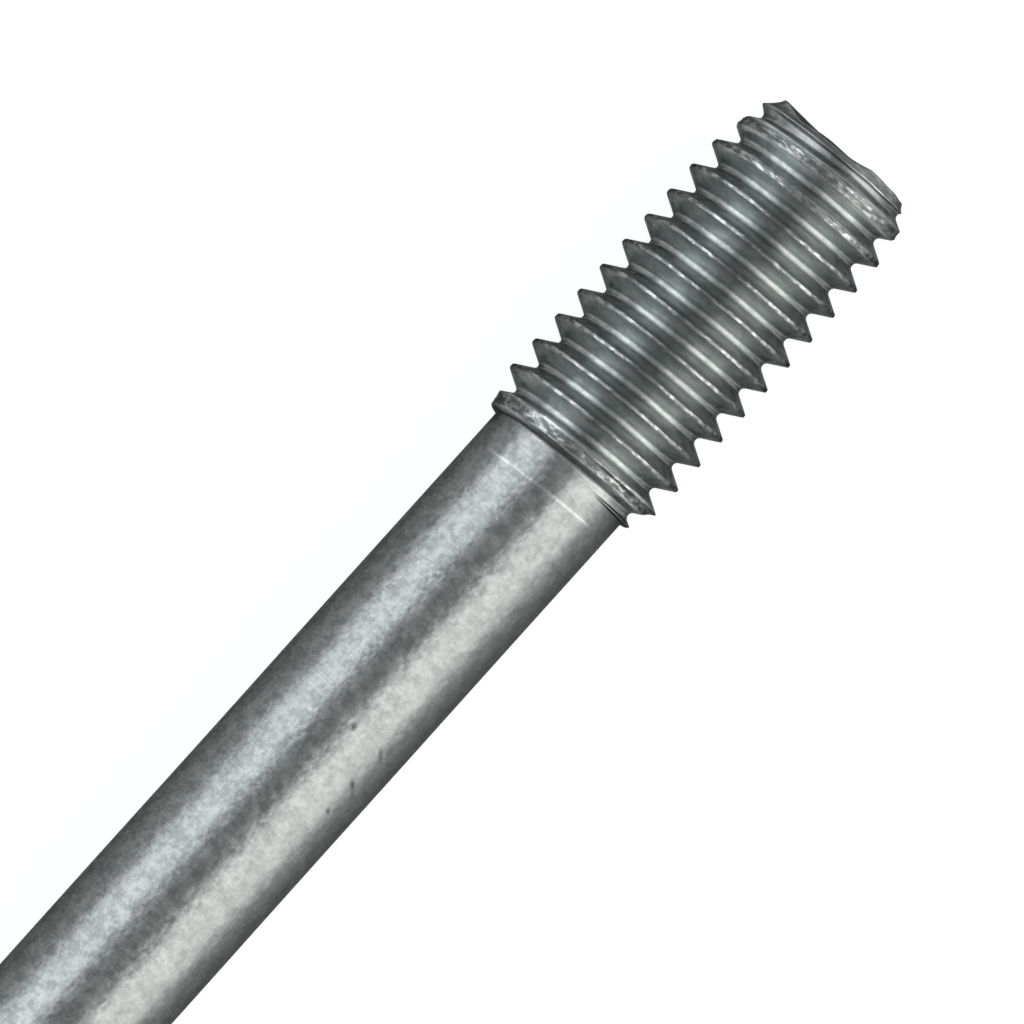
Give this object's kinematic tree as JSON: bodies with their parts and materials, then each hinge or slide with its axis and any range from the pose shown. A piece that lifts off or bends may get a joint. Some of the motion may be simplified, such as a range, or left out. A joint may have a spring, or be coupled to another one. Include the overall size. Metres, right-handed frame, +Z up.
{
  "type": "cylinder stud",
  "caption": "Long steel cylinder stud with a rolled right-hand thread at each end and a slimmer plain shank between, lying on its thread crests.",
  "frame": {"origin": "bottom centre of the whole stud: half way along it, under its axis, on the surface that it lies on", "axes": "+X along the stud towards the nut end, +Z up from the surface that it lies on"},
  "size_m": [0.125, 0.0078, 0.0078],
  "materials": {
    "steel": "bare drawn steel, matte on the shank and glossier on the rolled threads"
  },
  "bodies": {
    "root": {"stud": "steel"}
  },
  "joints": []
}
